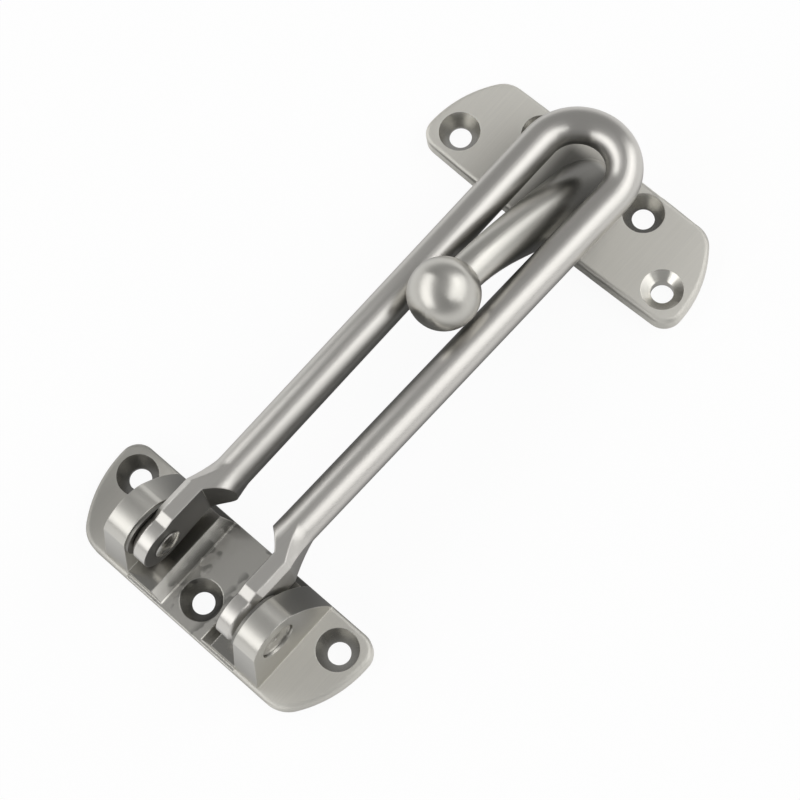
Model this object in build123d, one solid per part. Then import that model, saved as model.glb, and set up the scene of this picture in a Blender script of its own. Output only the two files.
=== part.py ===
# Swing bar door guard: a hinged U-shaped bar on a base plate, and a strike plate whose arm
# carries a ball on the bar's slot.
# X runs along the hinge, Y from the base to the strike, Z out of the plates' faces.
# The origin lies midway between the base's two end screws, on the back plane.
from build123d import *
from math import acos, asin, atan2, cos, degrees, hypot, radians, sin, sqrt
import os

os.makedirs("parts", exist_ok=True)

# Both plates
PLATE_THICKNESS = 4.0
PLATE_EDGE_ROUND = 1.0
SCREW_HOLE_D = 5.0
SINK_D = 9.3
SINK_LAND = 0.7
DEEP_LAND = 2.3
END_SCREW_SPACING = 57.8

# Base plate: its near edge is the one away from the strike
BASE_NEAR_Y = -17.7
BASE_FAR_Y = 6.2
BASE_HALF_WIDTH = 35.3
BASE_WIDEST_Y = 1.3
BASE_END_RADIUS = 28.0
BASE_SHARP_CORNER = 4.3
BASE_SOFT_CORNER = 7.0
CENTRE_SCREW_Y = -10.8
FLOOR_DROP = 0.5
FLOOR_HALF_WIDTH = 5.7
PAD_RISE = 1.4
PAD_INNER_X = 8.7
PAD_END_GAP = 0.8
PAD_RAMP = 1.3
PAD_NEAR_LEAN = 0.2

# Hinge lugs, standing on the base plate
LUG_INNER_X = 15.4
LUG_FOOT_WIDTH = 6.55
LUG_CREST_WIDTH = 5.6
LUG_CREST_RADIUS = 7.05
LUG_CREASE_ANGLE = 157.0
LUG_BACK_ANGLE = 38.0
LUG_NEAR_INSET = 0.8
LUG_FAR_INSET = 0.12
RECESS_D = 8.6
RECESS_DEPTH = 1.0

# Hinge pins and washers
PIVOT_Y = -7.6
PIVOT_Z = 16.0
PIN_D = 5.0
PRESS_CLEARANCE = 0.01
RUNNING_CLEARANCE = 0.06
PIN_HEAD_D = 6.8
PIN_HEAD_HEIGHT = 1.3
PIN_HEAD_RIM = 0.35
PIN_HEAD_GAP = 0.15
PIN_TAIL_GAP = 0.25
PIN_TAIL_HEIGHT = 0.6
PIN_DISH_D = 5.2
PIN_DISH_DEPTH = 0.3
WASHER_D = 13.2
WASHER_THICKNESS = 0.75
WASHER_GAP = 0.15

# U-shaped bar, drawn level with its pivot at zero and then tilted
ROD_D = 8.0
BAR_DROP = 4.0
BAR_RISE = 3.3
LEG_X_AT_PIVOT = 8.96
BEND_RADIUS = 10.18
BEND_Y = 117.0
TAB_THICKNESS = 4.45
TAB_ROUND = 6.4
TAB_FACET_LENGTH = 2.2
TAB_FACET_START = 1.3
TAB_LENGTH = 12.0
TAB_DEPTH = 4.9
TAB_BEVEL = 1.3
FLARE_END = 20.0
FLARE_MIDDLE = 15.8
FLARE_SWELL = 0.45
FLARE_BEVEL = 2.3
NEARLY_ROUND = 0.97
FLAT_SPAN = 10
STEP_Y = 12.2
STEP_RISE = 4.6
STEP_HOLLOW = 0.25

# Strike plate
STRIKE_NEAR_Y = 97.1
STRIKE_FAR_Y = 119.75
STRIKE_HALF_WIDTH = 35.6
STRIKE_WIDEST_Y = 101.3
STRIKE_END_RADIUS = 27.0
STRIKE_SHARP_CORNER = 4.3
STRIKE_SOFT_CORNER = 6.0
STRIKE_NEAR_BOW = 0.7
STRIKE_FAR_BOW = 0.25
STRIKE_SCREW_Y = 103.4
NARROW_SCREW_SPACING = 28.96
NARROW_SCREW_Y = 114.3

# Ball and the arm that carries it
BALL_D = 15.6
BALL_Y = 67.8
BALL_CLEARANCE = 0.7
NECK_D = 7.9
NECK_DROP = 1.25
BACK_REACH = 9.6
BACK_SLOPE_REACH = 13.7
BACK_SLOPE_DROP = 10.5
BACK_FOOT_INSET = 0.9
BELLY_REACH = 9.5
BELLY_SAG = 0.3
BELLY_HOLLOW = 10.2
BELLY_FOOT_INSET = 0.7
BELLY_FOOT_RISE = 2.35
ARM_SWELL = 2.65
ROOT_BURY = 1.2
ARM_STEPS = 6

# Worked out from the sizes above
floor_z = PLATE_THICKNESS - FLOOR_DROP
pad_z = PLATE_THICKNESS + PAD_RISE
rod_r = ROD_D / 2
tab_outer_x = LUG_INNER_X - WASHER_THICKNESS - WASHER_GAP
tab_inner_x = tab_outer_x - TAB_THICKNESS
tilt = degrees(atan2(BAR_DROP, BEND_Y))
splay = degrees(atan2(BEND_RADIUS - LEG_X_AT_PIVOT, BEND_Y))
screw_x = END_SCREW_SPACING / 2


def leg_x(y):
    """Distance of a leg's axis from the middle plane, at a distance along the bar."""
    return LEG_X_AT_PIVOT + (BEND_RADIUS - LEG_X_AT_PIVOT) * y / BEND_Y


def bar_axis_z(y):
    """Height of the legs' axes at a place along the part."""
    return PIVOT_Z + BAR_RISE - BAR_DROP * (y - PIVOT_Y) / BEND_Y


def tangent_point(centre, radius, point, side):
    """Where a line from the point touches the circle, on its side +1 or -1."""
    across = point[0] - centre[0]
    up = point[1] - centre[1]
    angle = atan2(up, across) + side * acos(radius / hypot(across, up))
    return (centre[0] + radius * cos(angle), centre[1] + radius * sin(angle))


def mirrored(shape):
    return mirror(shape, about=Plane.YZ)


def bowed(start, end, bow):
    """A plate's long edge: straight, or an arc that bulges by the bow along Y."""
    if bow == 0:
        return Line(start, end)
    return ThreePointArc(start, (0, start[1] + bow), end)


def side_prism(profile, x_from, x_to):
    """Closed lines drawn as (y, z), made solid between two places along X."""
    face = Plane.YZ * make_face(profile)
    return Pos(x_from, 0, 0) * extrude(face, x_to - x_from, dir=(1, 0, 0))


def front_prism(points, y_from, y_to):
    """A polygon drawn as (x, z), made solid between two places along Y."""
    face = make_face(Polyline([(x, y_from, z) for x, z in points], close=True))
    return extrude(face, y_to - y_from, dir=(0, 1, 0))


def plate(half_width, widest_y, end_radius, near, far):
    """Rounded plate; near and far each give an edge's y, its outward bow and its corners' radius."""
    def end_x(y):
        return half_width - end_radius + sqrt(end_radius ** 2 - (y - widest_y) ** 2)

    near_y, near_bow, near_corner = near
    far_y, far_bow, far_corner = far
    near_x = end_x(near_y)
    far_x = end_x(far_y)
    outline = [
        bowed((-near_x, near_y), (near_x, near_y), -near_bow),
        ThreePointArc((near_x, near_y), (half_width, widest_y), (far_x, far_y)),
        bowed((far_x, far_y), (-far_x, far_y), far_bow),
        ThreePointArc((-far_x, far_y), (-half_width, widest_y), (-near_x, near_y)),
    ]
    face = make_face(outline)
    corners = face.vertices().sort_by(Axis.Y)
    face = fillet(corners[:2], near_corner)
    face = fillet(face.vertices().group_by(Axis.Y)[-1], far_corner)
    solid = extrude(face, PLATE_THICKNESS)
    top = solid.faces().sort_by(Axis.Z)[-1]
    return fillet(top.outer_wire().edges(), PLATE_EDGE_ROUND)


def screw_hole(x, y, surface_z, land=SINK_LAND):
    """Countersunk hole with a straight land at the back."""
    shank = Cylinder(SCREW_HOLE_D / 2, land, align=(Align.CENTER, Align.CENTER, Align.MIN))
    slope = (SINK_D - SCREW_HOLE_D) / 2 / (surface_z - land)
    cone_height = PLATE_THICKNESS + PAD_RISE + 1 - land
    cone = Cone(
        SCREW_HOLE_D / 2,
        SCREW_HOLE_D / 2 + slope * cone_height,
        cone_height,
        align=(Align.CENTER, Align.CENTER, Align.MIN),
    )
    return Pos(x, y, 0) * (shank + Pos(0, 0, land) * cone)


def on_crest(angle):
    """Point of the lugs' round crest at an angle from +Y, as (y, z)."""
    turn = radians(angle)
    return (PIVOT_Y + LUG_CREST_RADIUS * cos(turn), PIVOT_Z + LUG_CREST_RADIUS * sin(turn))


def lug():
    """Right-hand lug: a flat near face, a crest round the pivot and a bowed back, drafted outside."""
    sink_z = PLATE_THICKNESS / 2
    foot_near = BASE_NEAR_Y + LUG_NEAR_INSET
    foot_far = (BASE_FAR_Y - LUG_FAR_INSET, PLATE_THICKNESS)
    crease = on_crest(LUG_CREASE_ANGLE)
    leave = on_crest(LUG_BACK_ANGLE)
    leave_turn = radians(LUG_BACK_ANGLE)
    profile = [
        Line((foot_near, sink_z), (foot_near, PLATE_THICKNESS)),
        Line((foot_near, PLATE_THICKNESS), crease),
        ThreePointArc(crease, on_crest(90), leave),
        TangentArc(leave, foot_far, tangent=(sin(leave_turn), -cos(leave_turn))),
        Line(foot_far, (foot_far[0], sink_z)),
        Line((foot_far[0], sink_z), (foot_near, sink_z)),
    ]
    crest_z = PIVOT_Z + LUG_CREST_RADIUS
    draft = (LUG_FOOT_WIDTH - LUG_CREST_WIDTH) / (crest_z - PLATE_THICKNESS)

    def outer_x(z):
        return LUG_INNER_X + LUG_FOOT_WIDTH - draft * (z - PLATE_THICKNESS)

    top_z = crest_z + 1
    section = [
        (LUG_INNER_X, sink_z),
        (outer_x(sink_z), sink_z),
        (outer_x(top_z), top_z),
        (LUG_INNER_X, top_z),
    ]
    solid = side_prism(profile, LUG_INNER_X, LUG_INNER_X + LUG_FOOT_WIDTH + 1)
    solid = solid & front_prism(section, BASE_NEAR_Y - 1, BASE_FAR_Y + 1)
    recess_floor = outer_x(PIVOT_Z) - RECESS_DEPTH
    solid -= disc(RECESS_D, recess_floor, recess_floor + 2 * RECESS_DEPTH)
    solid -= disc(PIN_D + 2 * PRESS_CLEARANCE, LUG_INNER_X - 1, recess_floor + 1)
    return solid, recess_floor


def disc(diameter, x_from, x_to):
    """Round piece or bore on the pivot's axis, between two places along X."""
    barrel = Rot(0, 90, 0) * Cylinder(
        diameter / 2, x_to - x_from, align=(Align.CENTER, Align.CENTER, Align.MIN)
    )
    return Pos(x_from, PIVOT_Y, PIVOT_Z) * barrel


def pad():
    """Right-hand raised pad between the middle floor and the lug."""
    sink_z = PLATE_THICKNESS / 2
    section = [
        (FLOOR_HALF_WIDTH - (floor_z - sink_z), sink_z),
        (FLOOR_HALF_WIDTH, floor_z),
        (PAD_INNER_X, pad_z),
        (LUG_INNER_X + 1, pad_z),
        (LUG_INNER_X + 1, sink_z),
    ]
    near = BASE_NEAR_Y + PAD_END_GAP
    far = BASE_FAR_Y - LUG_FAR_INSET
    side = Polyline(
        [
            (near, sink_z),
            (near, PLATE_THICKNESS),
            (near + PAD_NEAR_LEAN, pad_z),
            (far - PAD_RAMP, pad_z),
            (far, floor_z),
            (far, sink_z),
        ],
        close=True,
    )
    return front_prism(section, BASE_NEAR_Y, BASE_FAR_Y) & side_prism(side, 0, LUG_INNER_X + 2)


def hinge_base(one_lug):
    solid = plate(
        BASE_HALF_WIDTH,
        BASE_WIDEST_Y,
        BASE_END_RADIUS,
        (BASE_NEAR_Y, 0, BASE_SOFT_CORNER),
        (BASE_FAR_Y, 0, BASE_SHARP_CORNER),
    )
    middle = Box(
        2 * LUG_INNER_X,
        2 * (BASE_FAR_Y - BASE_NEAR_Y),
        PLATE_THICKNESS,
        align=(Align.CENTER, Align.CENTER, Align.MIN),
    )
    solid -= Pos(0, 0, floor_z) * middle
    one_pad = pad()
    for piece in (one_pad, one_lug):
        solid += piece
        solid += mirrored(piece)
    for side in (-1, 1):
        solid -= screw_hole(side * screw_x, 0, PLATE_THICKNESS)
    return solid - screw_hole(0, CENTRE_SCREW_Y, floor_z)


def pivot_pin(recess_floor):
    """Right-hand pin: shank, domed head inside the tab and a dished tail in the lug's recess."""
    head_x = tab_inner_x - PIN_HEAD_GAP
    rim_x = head_x - PIN_HEAD_RIM
    top_x = head_x - PIN_HEAD_HEIGHT
    tail_x = recess_floor + PIN_TAIL_HEIGHT
    tail_r = RECESS_D / 2 - PIN_TAIL_GAP
    shank_r = PIN_D / 2
    outline = [
        Line((top_x, 0), (tail_x - PIN_DISH_DEPTH, 0)),
        Line((tail_x - PIN_DISH_DEPTH, 0), (tail_x, PIN_DISH_D / 2)),
        Line((tail_x, PIN_DISH_D / 2), (tail_x, tail_r)),
        Line((tail_x, tail_r), (recess_floor, tail_r)),
        Line((recess_floor, tail_r), (recess_floor, shank_r)),
        Line((recess_floor, shank_r), (head_x, shank_r)),
        Line((head_x, shank_r), (head_x, PIN_HEAD_D / 2)),
        Line((head_x, PIN_HEAD_D / 2), (rim_x, PIN_HEAD_D / 2)),
        ThreePointArc((rim_x, PIN_HEAD_D / 2), dome_middle(top_x), (top_x, 0)),
    ]
    solid = revolve(make_face(outline), Axis.X)
    return Pos(0, PIVOT_Y, PIVOT_Z) * solid


def dome_middle(top_x):
    """Point half way round the arc of the head's dome, as (x, radius)."""
    rise = PIN_HEAD_HEIGHT - PIN_HEAD_RIM
    half = PIN_HEAD_D / 2
    radius = (half ** 2 + rise ** 2) / (2 * rise)
    angle = asin(half / radius) / 2
    return (top_x + radius - radius * cos(angle), radius * sin(angle))


def washer():
    """Right-hand washer, flat against the lug."""
    ring = disc(WASHER_D, LUG_INNER_X - WASHER_THICKNESS, LUG_INNER_X)
    return ring - disc(PIN_D + 2 * RUNNING_CLEARANCE, LUG_INNER_X - 2, LUG_INNER_X + 1)


def rod_path():
    """Middle line of the bent rod, from the right-hand flare round the far bend to the left one."""
    touch = Vector(BEND_RADIUS, 0).rotate(Axis.Z, -splay)
    right = Vector(0, BEND_Y) + touch
    left = Vector(-right.X, right.Y)
    start = (leg_x(FLARE_END), FLARE_END)
    finish = (-start[0], FLARE_END)
    path = Wire([
        Line(start, right).edge(),
        ThreePointArc(right, (0, BEND_Y + BEND_RADIUS), left).edge(),
        Line(left, finish).edge(),
    ])
    return Pos(0, 0, BAR_RISE) * path


def rod_section(path):
    """The rod's round section at its right-hand end, in eight arcs that suit the flare's edges."""
    def on_rod(angle):
        return Vector(rod_r, 0).rotate(Axis.Z, angle)

    half_corner = (90 - FLAT_SPAN) / 2
    stops = []
    for corner in (45, 135, 225, 315):
        stops += [corner - half_corner, corner + half_corner]
    stops.append(stops[0] + 360)
    arcs = []
    for begin, end in zip(stops, stops[1:]):
        arcs.append(ThreePointArc(on_rod(begin), on_rod((begin + end) / 2), on_rod(end)))
    along = path % 0
    return Plane(origin=path @ 0, x_dir=(along.Y, -along.X, 0), z_dir=-along) * make_face(arcs)


def flare_section(y, inner_x, outer_x, low_z, high_z, inner_round, outer_bevel):
    """Section across the flattened stretch: round towards the slot, bevelled outside."""
    width = outer_x - inner_x
    height = high_z - low_z
    face = Rectangle(width, height)
    face = fillet(face.vertices().group_by(Axis.X)[0], inner_round)
    face = chamfer(face.vertices().group_by(Axis.X)[-1], outer_bevel)
    place = Plane(
        origin=((inner_x + outer_x) / 2, y, (low_z + high_z) / 2),
        x_dir=(1, 0, 0),
        z_dir=(0, -1, 0),
    )
    return place * face


def bar_end(start):
    """Right-hand end: the rod flares outward and flattens into a round-ended tab with a pin bore."""
    top_z = BAR_RISE + rod_r
    part_way = flare_section(
        FLARE_MIDDLE,
        leg_x(FLARE_MIDDLE) - rod_r,
        leg_x(FLARE_MIDDLE) + rod_r + FLARE_SWELL,
        (BAR_RISE - rod_r - TAB_DEPTH) / 2,
        top_z,
        rod_r * NEARLY_ROUND,
        FLARE_BEVEL,
    )
    root = flare_section(
        TAB_LENGTH,
        leg_x(TAB_LENGTH) - rod_r,
        tab_outer_x,
        -TAB_DEPTH,
        top_z,
        rod_r * NEARLY_ROUND,
        TAB_BEVEL,
    )
    flare = loft([start, part_way, root])
    facet_end = (TAB_FACET_START + TAB_FACET_LENGTH, top_z)
    facet_start = (TAB_FACET_START, sqrt(TAB_ROUND ** 2 - TAB_FACET_START ** 2))
    corner = (TAB_LENGTH, -TAB_DEPTH)
    low = tangent_point((0, 0), TAB_ROUND, corner, -1)
    profile = [
        ThreePointArc(facet_start, (-TAB_ROUND, 0), low),
        Line(low, corner),
        Line(corner, (TAB_LENGTH, top_z)),
        Line((TAB_LENGTH, top_z), facet_end),
        Line(facet_end, facet_start),
    ]
    tab = side_prism(profile, tab_inner_x, tab_outer_x)
    outer_face = tab.faces().sort_by(Axis.X)[-1]
    far_end = outer_face.edges().sort_by(Axis.Y)[-1]
    rim = [edge for edge in outer_face.edges() if edge != far_end]
    return flare, chamfer(rim, TAB_BEVEL)


def step_cutter():
    """Room inside the right-hand tab, up to the slanting step at the rod's end."""
    inner_x = leg_x(STEP_Y) - rod_r - 0.5
    step_top = STEP_Y + STEP_RISE
    middle = ((tab_inner_x + inner_x) / 2 + STEP_HOLLOW, (STEP_Y + step_top) / 2 + STEP_HOLLOW)
    outline = [
        Line((0, -2 * TAB_ROUND), (tab_inner_x, -2 * TAB_ROUND)),
        Line((tab_inner_x, -2 * TAB_ROUND), (tab_inner_x, STEP_Y)),
        ThreePointArc((tab_inner_x, STEP_Y), middle, (inner_x, step_top)),
        Line((inner_x, step_top), (0, step_top)),
        Line((0, step_top), (0, -2 * TAB_ROUND)),
    ]
    return Pos(0, 0, -20) * extrude(make_face(outline), 40)


def swing_bar():
    path = rod_path()
    start = rod_section(path)
    flare, tab = bar_end(start)
    end = (flare - step_cutter()) + tab
    bore_r = PIN_D / 2 + RUNNING_CLEARANCE
    end -= Pos(tab_inner_x - 1, 0, 0) * Rot(0, 90, 0) * Cylinder(
        bore_r, TAB_THICKNESS + 2, align=(Align.CENTER, Align.CENTER, Align.MIN)
    )
    solid = sweep(start, path=path) + end + mirrored(end)
    return Pos(0, PIVOT_Y, PIVOT_Z) * Rot(-tilt, 0, 0) * solid


def arm_section(top, bottom, half_width):
    """Oval section between a point on the arm's back and one on its belly."""
    across = top - bottom
    place = Plane(origin=(top + bottom) / 2, x_dir=across, z_dir=Vector(1, 0, 0).cross(across))
    return place * scale(Circle(1), by=(across.length / 2, half_width, 1))


def ball_height():
    """Height of the ball's centre, just clear of both legs at the place where it lies."""
    reach = BALL_D / 2 + rod_r + BALL_CLEARANCE
    return bar_axis_z(BALL_Y) + sqrt(reach ** 2 - leg_x(BALL_Y - PIVOT_Y) ** 2)


def arm_sections(ball_z):
    """Ovals between the arm's back and belly, from inside the ball down into the plate."""
    neck_r = NECK_D / 2
    neck_y = BALL_Y + BALL_D / 4
    neck_z = ball_z - NECK_DROP
    back_foot = Vector(0, STRIKE_FAR_Y - BACK_FOOT_INSET, PLATE_THICKNESS - ROOT_BURY)
    belly_foot = Vector(0, STRIKE_NEAR_Y + BELLY_FOOT_INSET, PLATE_THICKNESS - ROOT_BURY)
    back = Bezier(
        (0, neck_y, neck_z + neck_r),
        (0, neck_y + BACK_REACH, neck_z + neck_r),
        (0, back_foot.Y - BACK_SLOPE_REACH, neck_z + neck_r - BACK_SLOPE_DROP),
        back_foot,
    )
    belly = Bezier(
        (0, neck_y, neck_z - neck_r),
        (0, neck_y + BELLY_REACH, neck_z - neck_r - BELLY_SAG),
        (0, belly_foot.Y - BELLY_HOLLOW, belly_foot.Z + BELLY_FOOT_RISE),
        belly_foot,
    )
    sections = []
    for step in range(ARM_STEPS + 1):
        along = step / ARM_STEPS
        half_width = neck_r + ARM_SWELL * along ** 1.5
        sections.append(arm_section(back @ along, belly @ along, half_width))
    return sections


def strike():
    solid = plate(
        STRIKE_HALF_WIDTH,
        STRIKE_WIDEST_Y,
        STRIKE_END_RADIUS,
        (STRIKE_NEAR_Y, STRIKE_NEAR_BOW, STRIKE_SHARP_CORNER),
        (STRIKE_FAR_Y, STRIKE_FAR_BOW, STRIKE_SOFT_CORNER),
    )
    ball_z = ball_height()
    arm = loft(arm_sections(ball_z))
    ball = Pos(0, BALL_Y, ball_z) * Sphere(BALL_D / 2)
    solid = solid + arm + ball
    narrow_x = NARROW_SCREW_SPACING / 2
    for x, y, land in (
        (-screw_x, STRIKE_SCREW_Y, SINK_LAND),
        (screw_x, STRIKE_SCREW_Y, DEEP_LAND),
        (-narrow_x, NARROW_SCREW_Y, SINK_LAND),
        (narrow_x, NARROW_SCREW_Y, SINK_LAND),
    ):
        solid -= screw_hole(x, y, PLATE_THICKNESS, land)
    return solid


right_lug, recess_floor_x = lug()
right_pin = pivot_pin(recess_floor_x)
right_washer = washer()

nodes = {
    "hinge_base": hinge_base(right_lug),
    "swing_bar": swing_bar(),
    "strike": strike(),
    "right_pivot_pin": right_pin,
    "left_pivot_pin": mirrored(right_pin),
    "right_washer": right_washer,
    "left_washer": mirrored(right_washer),
}

for name, shape in nodes.items():
    export_step(shape, f"parts/{name}.step")
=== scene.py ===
from math import pi, radians

import bpy
from mathutils import Matrix, Vector


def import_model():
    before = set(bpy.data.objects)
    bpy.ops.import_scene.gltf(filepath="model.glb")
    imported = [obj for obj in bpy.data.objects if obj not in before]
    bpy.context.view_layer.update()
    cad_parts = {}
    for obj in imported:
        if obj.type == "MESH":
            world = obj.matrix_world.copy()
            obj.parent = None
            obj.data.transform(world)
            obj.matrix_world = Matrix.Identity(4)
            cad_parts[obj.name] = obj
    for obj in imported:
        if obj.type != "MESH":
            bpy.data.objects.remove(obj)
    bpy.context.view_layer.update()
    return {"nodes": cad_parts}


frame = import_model()

# Camera, in metres, from the fit to the photograph
CAMERA_PLACE = (0.1400175, -0.0410428, 0.4864727)
CAMERA_RIGHT = Vector((0.741341, 0.665397, -0.087524))
CAMERA_UP = Vector((-0.614563, 0.725464, 0.309861))
CAMERA_BACK = Vector((0.269676, -0.175924, 0.946745))
CAMERA_LENS = 108.0
CAMERA_SENSOR = 36.0
CAMERA_CLIP = (0.01, 20.0)

# Floor and world. Each pair below is where a soft change begins and ends, in metres
FLOOR_Z = -0.0003
FLOOR_HALF = 1.5
FLOOR_COLOUR = (0.9, 0.9, 0.9, 1.0)
FLOOR_GLOW = 0.93
# Painted shadow of the part on the floor, as the metal mirrors it
SHADOW_LEVEL = 0.13
SHADOW_LEFT = (0.013, 0.060)
SHADOW_RIGHT = (0.013, 0.055)
SHADOW_NEAR = (0.010, 0.034)
SHADOW_FAR = (0.119, 0.140)
STUDIO_LEVEL = 0.36
HORIZON_HEIGHT = (0.0, 0.16)

# Lamps, all at one distance from the middle of the part
LAMP_AIM = Vector((0.0, 0.05, 0.01))
LAMP_DISTANCE = 1.1

# Colours of the metals
PLATE_NICKEL = (0.69, 0.675, 0.628)
BAR_NICKEL = (0.575, 0.56, 0.53)
PIN_METAL = (0.55, 0.54, 0.515)
# The washers' colour is darkened: painted shade of the narrow gap between each lug and tab
WASHER_SHADED = (0.21, 0.205, 0.19)

# Countersinks, in metres: hole centres, the cone's rim and a height just under the plates' top
BASE_HOLES = ((-0.0289, 0.0), (0.0289, 0.0), (0.0, -0.0108))
STRIKE_DEEP_HOLES = ((-0.0289, 0.1034), (-0.01448, 0.1143), (0.01448, 0.1143))
STRIKE_SHALLOW_HOLES = ((0.0289, 0.1034),)
SINK_RADIUS = 0.00468
SINK_TOP_Z = 0.00398
SINK_ROUGHNESS = 0.24
SINK_LINE_SCALE = 1.3
BACK_FACE = -0.5

# Plates and what stands on them
PLATE_TOP_Z = 0.0042
PLATE_TOP_FADE = 0.0006
LEFT_WING = (-0.0330, -0.0180)
# Painted shade on the base's left wing
LEFT_WING_SHADE = 0.60

# Polished middle of the base, between the lugs
POLISHED_HALF_WIDTH = 0.0153
POLISHED_TOP_Z = 0.0055
POLISHED_FLOOR_Z = 0.0037
POLISHED_ROUGHNESS = 0.19
POLISHED_STREAKS = 0.3
# Painted shade on the raised pads beside the tabs and lugs
RAISED_PAD_SHADE = 0.50
UPWARD = 0.3
RAMP_FOOT_X = 0.0052
RAMP_FOOT_FADE = (0.0012, 0.0030)
SPOT_SCALES = (260.0, 190.0, 260.0)
SPOT_EDGE = (0.50, 0.57)
SPOT_DULL = 0.55
WAVE_SCALES = (260.0, 260.0, 260.0)
WAVE_DEPTH = 0.00006

# Bar: its bend, its slot and the flat tabs at its ends
BEND_Y = 0.1094
SLOT_START_Y = 0.0130
SLOT_EDGE = (0.0062, 0.0082)
# Painted shade on the bar's faces that look into the slot
SLOT_SHADE = 0.55
TAB_INNER_X = 0.01015
TAB_END_Y = 0.0046
# Painted shade on the tabs' inner faces and on the steps behind them
TAB_SHADE = 0.36
TAB_ROUGHNESS = 0.45
STEP_END_Y = 0.0098
STEP_FACING = -0.3
STEP_SHADE = 0.30

# Painted shade on the plate and arm's root that the bend covers, and on the arm's right flank
COVERED_X = (0.0065, 0.0108)
COVERED_Z = (0.0100, 0.0190)
COVERED_NEAR_Y = (0.0860, 0.0990)
COVERED_FAR_Y = (0.1150, 0.1190)
COVERED_FACING = (0.0, 0.3)
COVERED_SHADE = 0.30
FLANK_X = (0.0010, 0.0035)
FLANK_Y = (0.0760, 0.0840)
FLANK_TOP_Z = (0.0190, 0.0260)
FLANK_FOOT_Z = (0.0042, 0.0050)
FLANK_SHADE = 0.55

# Brush lines: scales across, along and in depth, and what they do
COARSE_SCALES = (1800.0, 40.0, 1800.0)
COARSE_SHARE = 0.35
FINE_SCALES = (5200.0, 90.0, 5200.0)
FINE_SHARE = 0.65
LINE_DEPTH = 0.00003
LINE_GRAIN = 0.4
CLOUD_SCALES = (55.0, 55.0, 55.0)
CLOUD_SHARE = 0.05
QUARTER_TURN = 0.25
EDGE_SAMPLES = 4


class Tree:
    """A node tree with short calls for the nodes used here."""

    def __init__(self, owner):
        owner.use_nodes = True
        self.nodes = owner.node_tree.nodes
        self.links = owner.node_tree.links
        self.nodes.clear()

    def add(self, kind, **values):
        node = self.nodes.new(kind)
        for name, value in values.items():
            setattr(node, name, value)
        return node

    def put(self, socket, value):
        """Link a socket's output to this socket, or set a plain value on it."""
        if isinstance(value, bpy.types.NodeSocket):
            self.links.new(value, socket)
        else:
            socket.default_value = value

    def math(self, operation, *values):
        node = self.add("ShaderNodeMath", operation=operation)
        for socket, value in zip(node.inputs, values):
            self.put(socket, value)
        return node.outputs[0]

    def plus(self, a, b):
        return self.math("ADD", a, b)

    def minus(self, a, b):
        return self.math("SUBTRACT", a, b)

    def times(self, first, *others):
        for other in others:
            first = self.math("MULTIPLY", first, other)
        return first

    def size(self, value):
        return self.math("ABSOLUTE", value)

    def past(self, value, start):
        """How far the value lies past a start, or 0 before it."""
        return self.math("MAXIMUM", self.minus(value, start), 0.0)

    def reach(self, a, b):
        """Length of the vector a, b."""
        return self.math("SQRT", self.plus(self.times(a, a), self.times(b, b)))

    def below(self, value, limit):
        return self.math("LESS_THAN", value, limit)

    def above(self, value, limit):
        return self.math("GREATER_THAN", value, limit)

    def rise(self, value, span):
        """Smooth step from 0 at the span's low end to 1 at its high end."""
        low, high = span
        node = self.add("ShaderNodeMapRange", interpolation_type="SMOOTHSTEP")
        self.put(node.inputs["Value"], value)
        self.put(node.inputs["From Min"], low)
        self.put(node.inputs["From Max"], high)
        return node.outputs["Result"]

    def fall(self, value, span):
        """Smooth step from 1 at the span's low end to 0 at its high end."""
        return self.minus(1.0, self.rise(value, span))

    def mix(self, factor, a, b):
        """a where the factor is 0 and b where it is 1, for numbers."""
        return self.plus(a, self.times(factor, self.minus(b, a)))

    def vector(self, x, y, z):
        node = self.add("ShaderNodeCombineXYZ")
        for socket, value in zip(node.inputs, (x, y, z)):
            self.put(socket, value)
        return node.outputs[0]

    def split(self, vector):
        node = self.add("ShaderNodeSeparateXYZ")
        self.put(node.inputs[0], vector)
        return node.outputs

    def noise(self, place, scales, detail, roughness=0.5):
        """Noise at a place, stretched by a scale for each of its three parts."""
        parts = [self.times(part, scale) for part, scale in zip(place, scales)]
        node = self.add("ShaderNodeTexNoise")
        self.put(node.inputs["Vector"], self.vector(*parts))
        node.inputs["Scale"].default_value = 1.0
        node.inputs["Detail"].default_value = detail
        node.inputs["Roughness"].default_value = roughness
        return node.outputs["Fac"]

    def bump(self, height, strength, depth, normal):
        node = self.add("ShaderNodeBump")
        self.put(node.inputs["Height"], height)
        self.put(node.inputs["Strength"], strength)
        node.inputs["Distance"].default_value = depth
        self.put(node.inputs["Normal"], normal)
        return node.outputs["Normal"]

    def seen_by(self, *kinds):
        """1 for the given kinds of ray, else 0."""
        path = self.add("ShaderNodeLightPath")
        seen = path.outputs[kinds[0]]
        for kind in kinds[1:]:
            seen = self.math("MAXIMUM", seen, path.outputs[kind])
        return seen


def camera():
    """The camera of the photograph."""
    data = bpy.data.cameras.new("photo_camera")
    data.lens = CAMERA_LENS
    data.sensor_width = CAMERA_SENSOR
    data.sensor_fit = "HORIZONTAL"
    data.clip_start, data.clip_end = CAMERA_CLIP
    holder = bpy.data.objects.new("photo_camera", data)
    bpy.context.scene.collection.objects.link(holder)
    turn = Matrix((CAMERA_RIGHT, CAMERA_UP, CAMERA_BACK)).transposed().to_4x4()
    holder.matrix_world = Matrix.Translation(CAMERA_PLACE) @ turn
    bpy.context.scene.camera = holder


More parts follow.
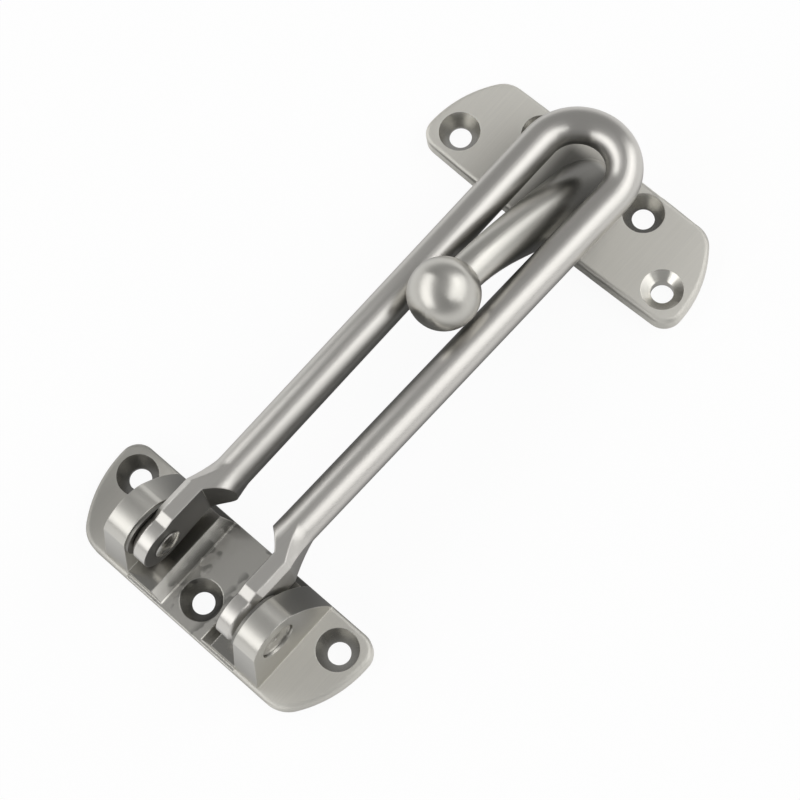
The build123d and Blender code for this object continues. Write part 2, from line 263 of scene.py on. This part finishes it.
class Metal:
    """Brushed metal: where its brush lines run, and how dark, rough and glossy it is in places.

    The lines run along Y and vary across X and in depth, unless a method below turns them.
    """

    def __init__(self, name, tint, roughness, streaks, relief, edge_round, anisotropy):
        self.material = bpy.data.materials.new(name)
        self.tree = Tree(self.material)
        self.tint = tint
        self.roughness = roughness
        self.streaks = streaks
        self.relief = relief
        self.edge_round = edge_round
        self.anisotropy = anisotropy
        place = self.tree.add("ShaderNodeTexCoord")
        self.x, self.y, self.z = self.tree.split(place.outputs["Object"])
        _, self.facing_y, self.facing_z = self.tree.split(place.outputs["Normal"])
        self.across = self.x
        self.along = self.y
        self.depth = self.z
        self.brush_x = 0.0
        self.brush_y = 1.0
        self.shade = 1.0
        self.gloss = None

    def paint(self, mask, shade):
        """Set the shade where the mask is 1."""
        self.shade = self.tree.mix(mask, self.shade, shade)

    def darken(self, mask, share):
        """Keep only a share of the shade where the mask is 1: painted shade in most places, stains by
        the ramps' feet.
        """
        self.paint(mask, self.tree.times(self.shade, share))

    def countersinks(self, holes, shade):
        """Inside each countersink, on the cone but not on the back, the lines run round the hole and the
        cone gets a painted shade.
        """
        tree = self.tree
        for hole_x, hole_y in holes:
            from_x = tree.minus(self.x, hole_x)
            from_y = tree.minus(self.y, hole_y)
            distance = tree.reach(from_x, from_y)
            inside = tree.below(distance, SINK_RADIUS)
            under_top = tree.below(self.z, SINK_TOP_Z)
            not_back = tree.above(self.facing_z, BACK_FACE)
            mask = tree.times(inside, under_top, not_back)
            self.paint(mask, shade)
            self.roughness = tree.mix(mask, self.roughness, SINK_ROUGHNESS)
            self.across = tree.mix(mask, self.across, tree.times(distance, SINK_LINE_SCALE))
            self.along = tree.mix(mask, self.along, hole_y)
            self.depth = tree.mix(mask, self.depth, hole_x)
            self.brush_x = tree.mix(mask, self.brush_x, tree.times(from_y, -1.0))
            self.brush_y = tree.mix(mask, self.brush_y, from_x)

    def smooth_above(self, roughness, streaks, shade):
        """What stands on a plate is smoother and a little darker than the plate."""
        tree = self.tree
        above = tree.rise(self.z, (PLATE_TOP_Z, PLATE_TOP_Z + PLATE_TOP_FADE))
        self.roughness = tree.mix(above, self.roughness, roughness)
        self.streaks = tree.mix(above, self.streaks, streaks)
        self.relief = tree.mix(above, self.relief, streaks)
        self.paint(above, shade)

    def polished_middle(self):
        """Between the lugs the floor and the raised pads are shiny, the raised pads darkened by painted
        shade, with stains by the ramps' feet.
        """
        tree = self.tree
        width = tree.size(self.x)
        narrow = tree.below(width, POLISHED_HALF_WIDTH)
        low = tree.below(self.z, POLISHED_TOP_Z)
        upward = tree.above(self.facing_z, UPWARD)
        self.gloss = tree.times(narrow, low, upward)
        raised = tree.above(self.z, POLISHED_FLOOR_Z)
        self.paint(tree.times(self.gloss, raised), RAISED_PAD_SHADE)
        from_foot = tree.size(tree.minus(width, RAMP_FOOT_X))
        by_foot = tree.fall(from_foot, RAMP_FOOT_FADE)
        cloud = tree.noise((self.x, self.y, self.z), SPOT_SCALES, detail=2.0)
        spots = tree.rise(cloud, SPOT_EDGE)
        self.darken(tree.times(spots, by_foot, self.gloss), SPOT_DULL)

    def shade_left_wing(self):
        """Painted shade: the base's left wing is darker than its right one."""
        self.darken(self.tree.fall(self.x, LEFT_WING), LEFT_WING_SHADE)

    def shade_under_bend(self):
        """Painted shade on the plate and the arm's root under the bend."""
        tree = self.tree
        narrow = tree.fall(tree.size(self.x), COVERED_X)
        low = tree.fall(self.z, COVERED_Z)
        past_near = tree.rise(self.y, COVERED_NEAR_Y)
        before_far = tree.fall(self.y, COVERED_FAR_Y)
        upward = tree.rise(self.facing_z, COVERED_FACING)
        self.darken(tree.times(narrow, low, past_near, before_far, upward), COVERED_SHADE)

    def shade_right_flank(self):
        """Painted shade on the arm's right flank too, between the plate and the ball."""
        tree = self.tree
        right = tree.rise(self.x, FLANK_X)
        past_ball = tree.rise(self.y, FLANK_Y)
        low = tree.fall(self.z, FLANK_TOP_Z)
        above_plate = tree.rise(self.z, FLANK_FOOT_Z)
        self.darken(tree.times(right, past_ball, low, above_plate), FLANK_SHADE)

    def follow_bend(self):
        """On the bar the lines follow the rod round its bend."""
        tree = self.tree
        past = tree.past(self.y, BEND_Y)
        self.across = tree.reach(self.x, past)
        self.brush_x = tree.times(past, -1.0)
        self.brush_y = self.x

    def shade_in_slot(self):
        """Painted shade on the bar towards the slot, all round the slot's middle line."""
        tree = self.tree
        past_bend = tree.past(self.y, BEND_Y)
        before_slot = tree.math("MAXIMUM", tree.minus(SLOT_START_Y, self.y), 0.0)
        distance = tree.reach(self.x, tree.plus(past_bend, before_slot))
        self.darken(tree.fall(distance, SLOT_EDGE), SLOT_SHADE)

    def shade_between_tabs(self):
        """Painted shade on the tabs' inner faces and the steps behind them; the tabs' inner faces are
        also rougher.
        """
        tree = self.tree
        inner = tree.below(tree.size(self.x), TAB_INNER_X)
        between = tree.times(inner, tree.below(self.y, TAB_END_Y))
        self.paint(between, TAB_SHADE)
        self.roughness = tree.mix(between, self.roughness, TAB_ROUGHNESS)
        around_step = tree.below(self.y, STEP_END_Y)
        faces_hinge = tree.below(self.facing_y, STEP_FACING)
        self.paint(tree.times(inner, around_step, faces_hinge), STEP_SHADE)

    def brush_lines(self):
        """Long thin noise along the brush's way, about 0.5 on average."""
        tree = self.tree
        place = (self.across, self.along, self.depth)
        coarse = tree.noise(place, COARSE_SCALES, detail=2.0)
        fine = tree.noise(place, FINE_SCALES, detail=3.0, roughness=0.6)
        return tree.plus(tree.times(coarse, COARSE_SHARE), tree.times(fine, FINE_SHARE))

    def colour(self, swing, line_strength):
        """The tint, made lighter and darker by the lines, by soft clouds and by the shade."""
        tree = self.tree
        cloud = tree.noise((self.x, self.y, self.z), CLOUD_SCALES, detail=3.0)
        streak = tree.times(swing, tree.times(self.streaks, line_strength))
        patch = tree.times(tree.minus(cloud, 0.5), CLOUD_SHARE)
        shade = tree.times(self.shade, tree.plus(1.0, tree.plus(streak, patch)))
        colour = tree.add("ShaderNodeVectorMath", operation="SCALE")
        colour.inputs[0].default_value = self.tint
        tree.put(colour.inputs["Scale"], shade)
        return colour.outputs["Vector"]

    def tangent(self):
        """Way of the brush lines, which the gloss spreads across."""
        tree = self.tree
        turn = tree.add("ShaderNodeVectorTransform", vector_type="VECTOR",
                        convert_from="OBJECT", convert_to="WORLD")
        tree.put(turn.inputs[0], tree.vector(self.brush_x, self.brush_y, 0.0))
        unit = tree.add("ShaderNodeVectorMath", operation="NORMALIZE")
        tree.put(unit.inputs[0], turn.outputs[0])
        return unit.outputs["Vector"]

    def normal(self, lines, line_strength):
        """Softened edges, with the lines' relief on them and slow waves where it is polished."""
        tree = self.tree
        soft_edges = tree.add("ShaderNodeBevel", samples=EDGE_SAMPLES)
        soft_edges.inputs["Radius"].default_value = self.edge_round
        strength = tree.times(self.relief, line_strength)
        normal = tree.bump(lines, strength, LINE_DEPTH, soft_edges.outputs["Normal"])
        if self.gloss is not None:
            waves = tree.noise((self.x, self.y, self.z), WAVE_SCALES, detail=1.0)
            normal = tree.bump(waves, self.gloss, WAVE_DEPTH, normal)
        return normal

    def finish(self):
        """Put the shader together."""
        tree = self.tree
        lines = self.brush_lines()
        swing = tree.minus(lines, 0.5)
        line_strength = 1.0
        roughness = self.roughness
        if self.gloss is not None:
            line_strength = tree.mix(self.gloss, 1.0, POLISHED_STREAKS)
            roughness = tree.mix(self.gloss, self.roughness, POLISHED_ROUGHNESS)
        grain = tree.times(swing, tree.times(self.streaks, LINE_GRAIN))
        shader = tree.add("ShaderNodeBsdfPrincipled")
        output = tree.add("ShaderNodeOutputMaterial")
        tree.put(output.inputs["Surface"], shader.outputs["BSDF"])
        tree.put(shader.inputs["Base Color"], self.colour(swing, line_strength))
        tree.put(shader.inputs["Roughness"], tree.plus(roughness, grain))
        shader.inputs["Metallic"].default_value = 1.0
        shader.inputs["Anisotropic"].default_value = self.anisotropy
        shader.inputs["Anisotropic Rotation"].default_value = QUARTER_TURN
        tree.put(shader.inputs["Tangent"], self.tangent())
        tree.put(shader.inputs["Normal"], self.normal(lines, line_strength))
        return self.material


def base_look():
    base = Metal("satin_nickel_base", PLATE_NICKEL, roughness=0.58, streaks=0.20, relief=0.25,
                 edge_round=0.0003, anisotropy=0.7)
    base.smooth_above(roughness=0.32, streaks=0.08, shade=0.80)
    base.countersinks(BASE_HOLES, shade=0.54)
    base.polished_middle()
    base.shade_left_wing()
    return base.finish()


def strike_look():
    strike = Metal("satin_nickel_strike", PLATE_NICKEL, roughness=0.58, streaks=0.20, relief=0.25,
                   edge_round=0.0003, anisotropy=0.7)
    strike.smooth_above(roughness=0.30, streaks=0.06, shade=0.79)
    strike.countersinks(STRIKE_DEEP_HOLES, shade=0.74)
    strike.countersinks(STRIKE_SHALLOW_HOLES, shade=1.0)
    strike.shade_under_bend()
    strike.shade_right_flank()
    return strike.finish()


def bar_look():
    bar = Metal("satin_nickel_bar", BAR_NICKEL, roughness=0.29, streaks=0.09, relief=0.07,
                edge_round=0.0005, anisotropy=0.78)
    bar.follow_bend()
    bar.shade_in_slot()
    bar.shade_between_tabs()
    return bar.finish()


def dress():
    """Give each piece its material."""
    pin = Metal("bright_pin_metal", PIN_METAL, roughness=0.20, streaks=0.15, relief=0.2,
                edge_round=0.0002, anisotropy=0.0)
    # Washer colour darkened by painted shade of the gap it sits in
    washer = Metal("shaded_washer_metal", WASHER_SHADED, roughness=0.40, streaks=0.15, relief=0.2,
                   edge_round=0.0001, anisotropy=0.0)
    looks = {
        "hinge_base": base_look(),
        "strike": strike_look(),
        "swing_bar": bar_look(),
    }
    pins = pin.finish()
    washers = washer.finish()
    for side in ("left", "right"):
        looks[side + "_pivot_pin"] = pins
        looks[side + "_washer"] = washers
    for node, material in looks.items():
        for slot in frame["nodes"][node].material_slots:
            slot.material = material


def floor_in_metal(tree):
    """How bright the white floor looks in the metal: a painted shadow of the part, fixed in place and
    soft at its edges.
    """
    place = tree.add("ShaderNodeNewGeometry").outputs["Position"]
    x, y, _ = tree.split(place)
    level = SHADOW_LEVEL
    for way, span in (
        (tree.times(x, -1.0), SHADOW_LEFT),
        (x, SHADOW_RIGHT),
        (y, SHADOW_FAR),
        (tree.times(y, -1.0), SHADOW_NEAR),
    ):
        level = tree.mix(tree.rise(way, span), level, 1.0)
    return level


def floor():
    """White to the camera, through glass and in the metal, with the part's shadow kept: a real faint one
    to the camera and a painted one in the metal.
    """
    mesh = bpy.data.meshes.new("floor")
    corners = ((-1, -1), (1, -1), (1, 1), (-1, 1))
    mesh.from_pydata([(x * FLOOR_HALF, y * FLOOR_HALF, FLOOR_Z) for x, y in corners], [], [(0, 1, 2, 3)])
    sheet = bpy.data.objects.new("floor", mesh)
    bpy.context.scene.collection.objects.link(sheet)
    material = bpy.data.materials.new("floor_white")
    tree = Tree(material)
    diffuse = tree.add("ShaderNodeBsdfDiffuse")
    diffuse.inputs["Color"].default_value = FLOOR_COLOUR
    glow = tree.add("ShaderNodeEmission")
    mirrored = tree.seen_by("Is Glossy Ray")
    tree.put(glow.inputs["Strength"], tree.mix(mirrored, 1.0, floor_in_metal(tree)))
    seen = tree.times(tree.seen_by("Is Camera Ray", "Is Transmission Ray"), FLOOR_GLOW)
    mixed = tree.add("ShaderNodeMixShader")
    tree.put(mixed.inputs["Fac"], tree.math("MAXIMUM", seen, mirrored))
    tree.put(mixed.inputs[1], diffuse.outputs[0])
    tree.put(mixed.inputs[2], glow.outputs[0])
    output = tree.add("ShaderNodeOutputMaterial")
    tree.put(output.inputs["Surface"], mixed.outputs[0])
    mesh.materials.append(material)


def softbox(name, right, up, back, size, lean, radiance):
    """Large soft lamp, placed by its direction in the photograph's view and leaning sideways."""
    way = (CAMERA_RIGHT * right + CAMERA_UP * up + CAMERA_BACK * back).normalized()
    data = bpy.data.lights.new(name, "AREA")
    data.shape = "RECTANGLE"
    data.size, data.size_y = size
    data.energy = radiance * pi * size[0] * size[1]
    lamp = bpy.data.objects.new(name, data)
    bpy.context.scene.collection.objects.link(lamp)
    side = CAMERA_UP.cross(way).normalized()
    top = way.cross(side).normalized()
    turn = Matrix((side, top, way)).transposed().to_4x4() @ Matrix.Rotation(radians(lean), 4, "Z")
    lamp.matrix_world = Matrix.Translation(LAMP_AIM + way * LAMP_DISTANCE) @ turn


def world():
    """White to the camera and through glass, white near the horizon in the metal, dim above."""
    studio = bpy.data.worlds.new("studio")
    bpy.context.scene.world = studio
    tree = Tree(studio)
    shade = tree.add("ShaderNodeBackground")
    output = tree.add("ShaderNodeOutputWorld")
    tree.put(output.inputs["Surface"], shade.outputs["Background"])
    shade.inputs["Color"].default_value = (1.0, 1.0, 1.0, 1.0)
    way = tree.split(tree.add("ShaderNodeTexCoord").outputs["Generated"])
    low_down = tree.fall(way["Z"], HORIZON_HEIGHT)
    mirrored = tree.times(tree.seen_by("Is Glossy Ray"), low_down)
    seen = tree.seen_by("Is Camera Ray", "Is Transmission Ray")
    white = tree.math("MAXIMUM", seen, mirrored)
    tree.put(shade.inputs["Strength"], tree.mix(white, STUDIO_LEVEL, 1.0))


def lamps():
    """Two lamps side by side on the right and a large one on the left, as the ball shows them."""
    softbox("softbox_inner", 0.48, 0.26, 0.84, size=(0.42, 1.6), lean=-18.0, radiance=1.55)
    softbox("softbox_outer", 0.80, 0.26, 0.54, size=(0.62, 1.7), lean=-18.0, radiance=1.3)
    softbox("softbox_left", -0.84, 0.13, 0.53, size=(0.74, 2.3), lean=6.0, radiance=1.65)


bpy.context.scene.view_settings.view_transform = "Standard"
camera()
dress()
floor()
world()
lamps()
